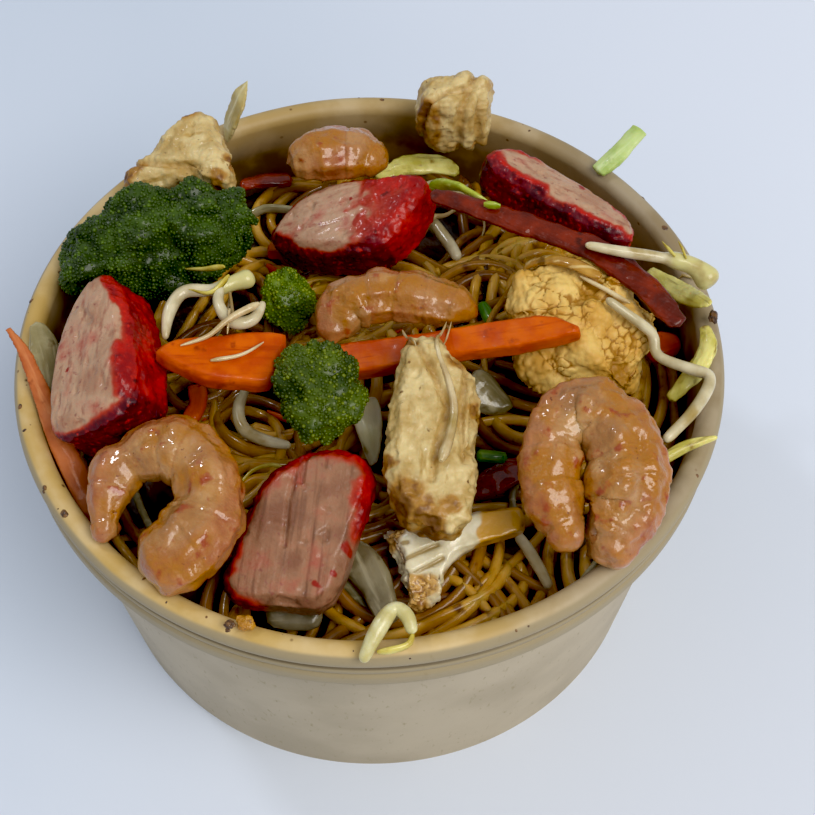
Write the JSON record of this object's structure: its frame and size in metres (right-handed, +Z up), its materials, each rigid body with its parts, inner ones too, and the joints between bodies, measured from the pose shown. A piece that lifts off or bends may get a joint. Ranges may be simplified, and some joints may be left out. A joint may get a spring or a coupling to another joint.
{
  "type": "noodle takeaway bowl",
  "caption": "Round paper takeaway bowl with a rolled lip, heaped with stir-fried noodles, roast pork, prawns, chicken and vegetables.",
  "frame": {"origin": "on the table, under the middle of the bowl", "axes": "+Z up, +Y from the front of the bowl to its back as pictured, +X to its right"},
  "size_m": [0.15, 0.1512, 0.0956],
  "materials": {
    "bowl_paper": "smooth brown paper, satin",
    "noodles": "yellow-brown, glossy with sauce",
    "broccoli": "dark green buds with a wet sheen",
    "roast_pork": "pale pink cut faces and a red crust",
    "prawn": "pale orange-pink, wet",
    "chicken": "cream with browned patches",
    "cauliflower": "cream-yellow, cracked and knobbly",
    "carrot": "orange, glossy with sauce",
    "red_pepper": "dark red, glossy",
    "onion": "greyish white, translucent look",
    "pale_leaf": "pale green",
    "spring_onion": "green",
    "bean_sprout": "white with a yellow tinge"
  },
  "bodies": {
    "root": {"paper_bowl": "bowl_paper", "noodle_heap": "noodles", "broccoli_large": "broccoli", "broccoli_upper": "broccoli", "broccoli_lower": "broccoli", "pork_left": "roast_pork", "pork_front": "roast_pork", "pork_back": "roast_pork", "pork_right": "roast_pork", "prawn_left": "prawn", "prawn_right": "prawn", "prawn_middle": "prawn", "prawn_back": "prawn", "chicken_middle": "chicken", "chicken_back": "chicken", "chicken_left": "chicken", "cauliflower_large": "cauliflower", "cauliflower_slice": "cauliflower", "carrot_pointed": "carrot", "carrot_long": "carrot", "carrot_strip": "carrot", "carrot_chip": "carrot", "carrot_chunk": "carrot", "carrot_back": "carrot", "pepper_long": "red_pepper", "pepper_short": "red_pepper", "pepper_stub": "red_pepper", "onion_wedge": "onion", "onion_triangle": "onion", "onion_petal": "onion", "onion_shell": "onion", "cabbage_curl": "onion", "leek_pale": "pale_leaf", "leek_stick": "pale_leaf", "leaf_blade": "pale_leaf", "cabbage_strip": "pale_leaf", "cabbage_rib": "pale_leaf", "scallion_ring": "spring_onion", "scallion_stub": "spring_onion", "scallion_light": "spring_onion", "sprout_curl": "bean_sprout", "sprout_hook": "bean_sprout", "sprout_arc": "bean_sprout", "sprout_stem": "bean_sprout", "sprout_headed": "bean_sprout", "sprout_long": "bean_sprout", "sprout_bent": "bean_sprout", "sprout_fork": "bean_sprout", "sprout_slant": "bean_sprout", "sprout_tendril": "pale_leaf"}
  },
  "joints": []
}
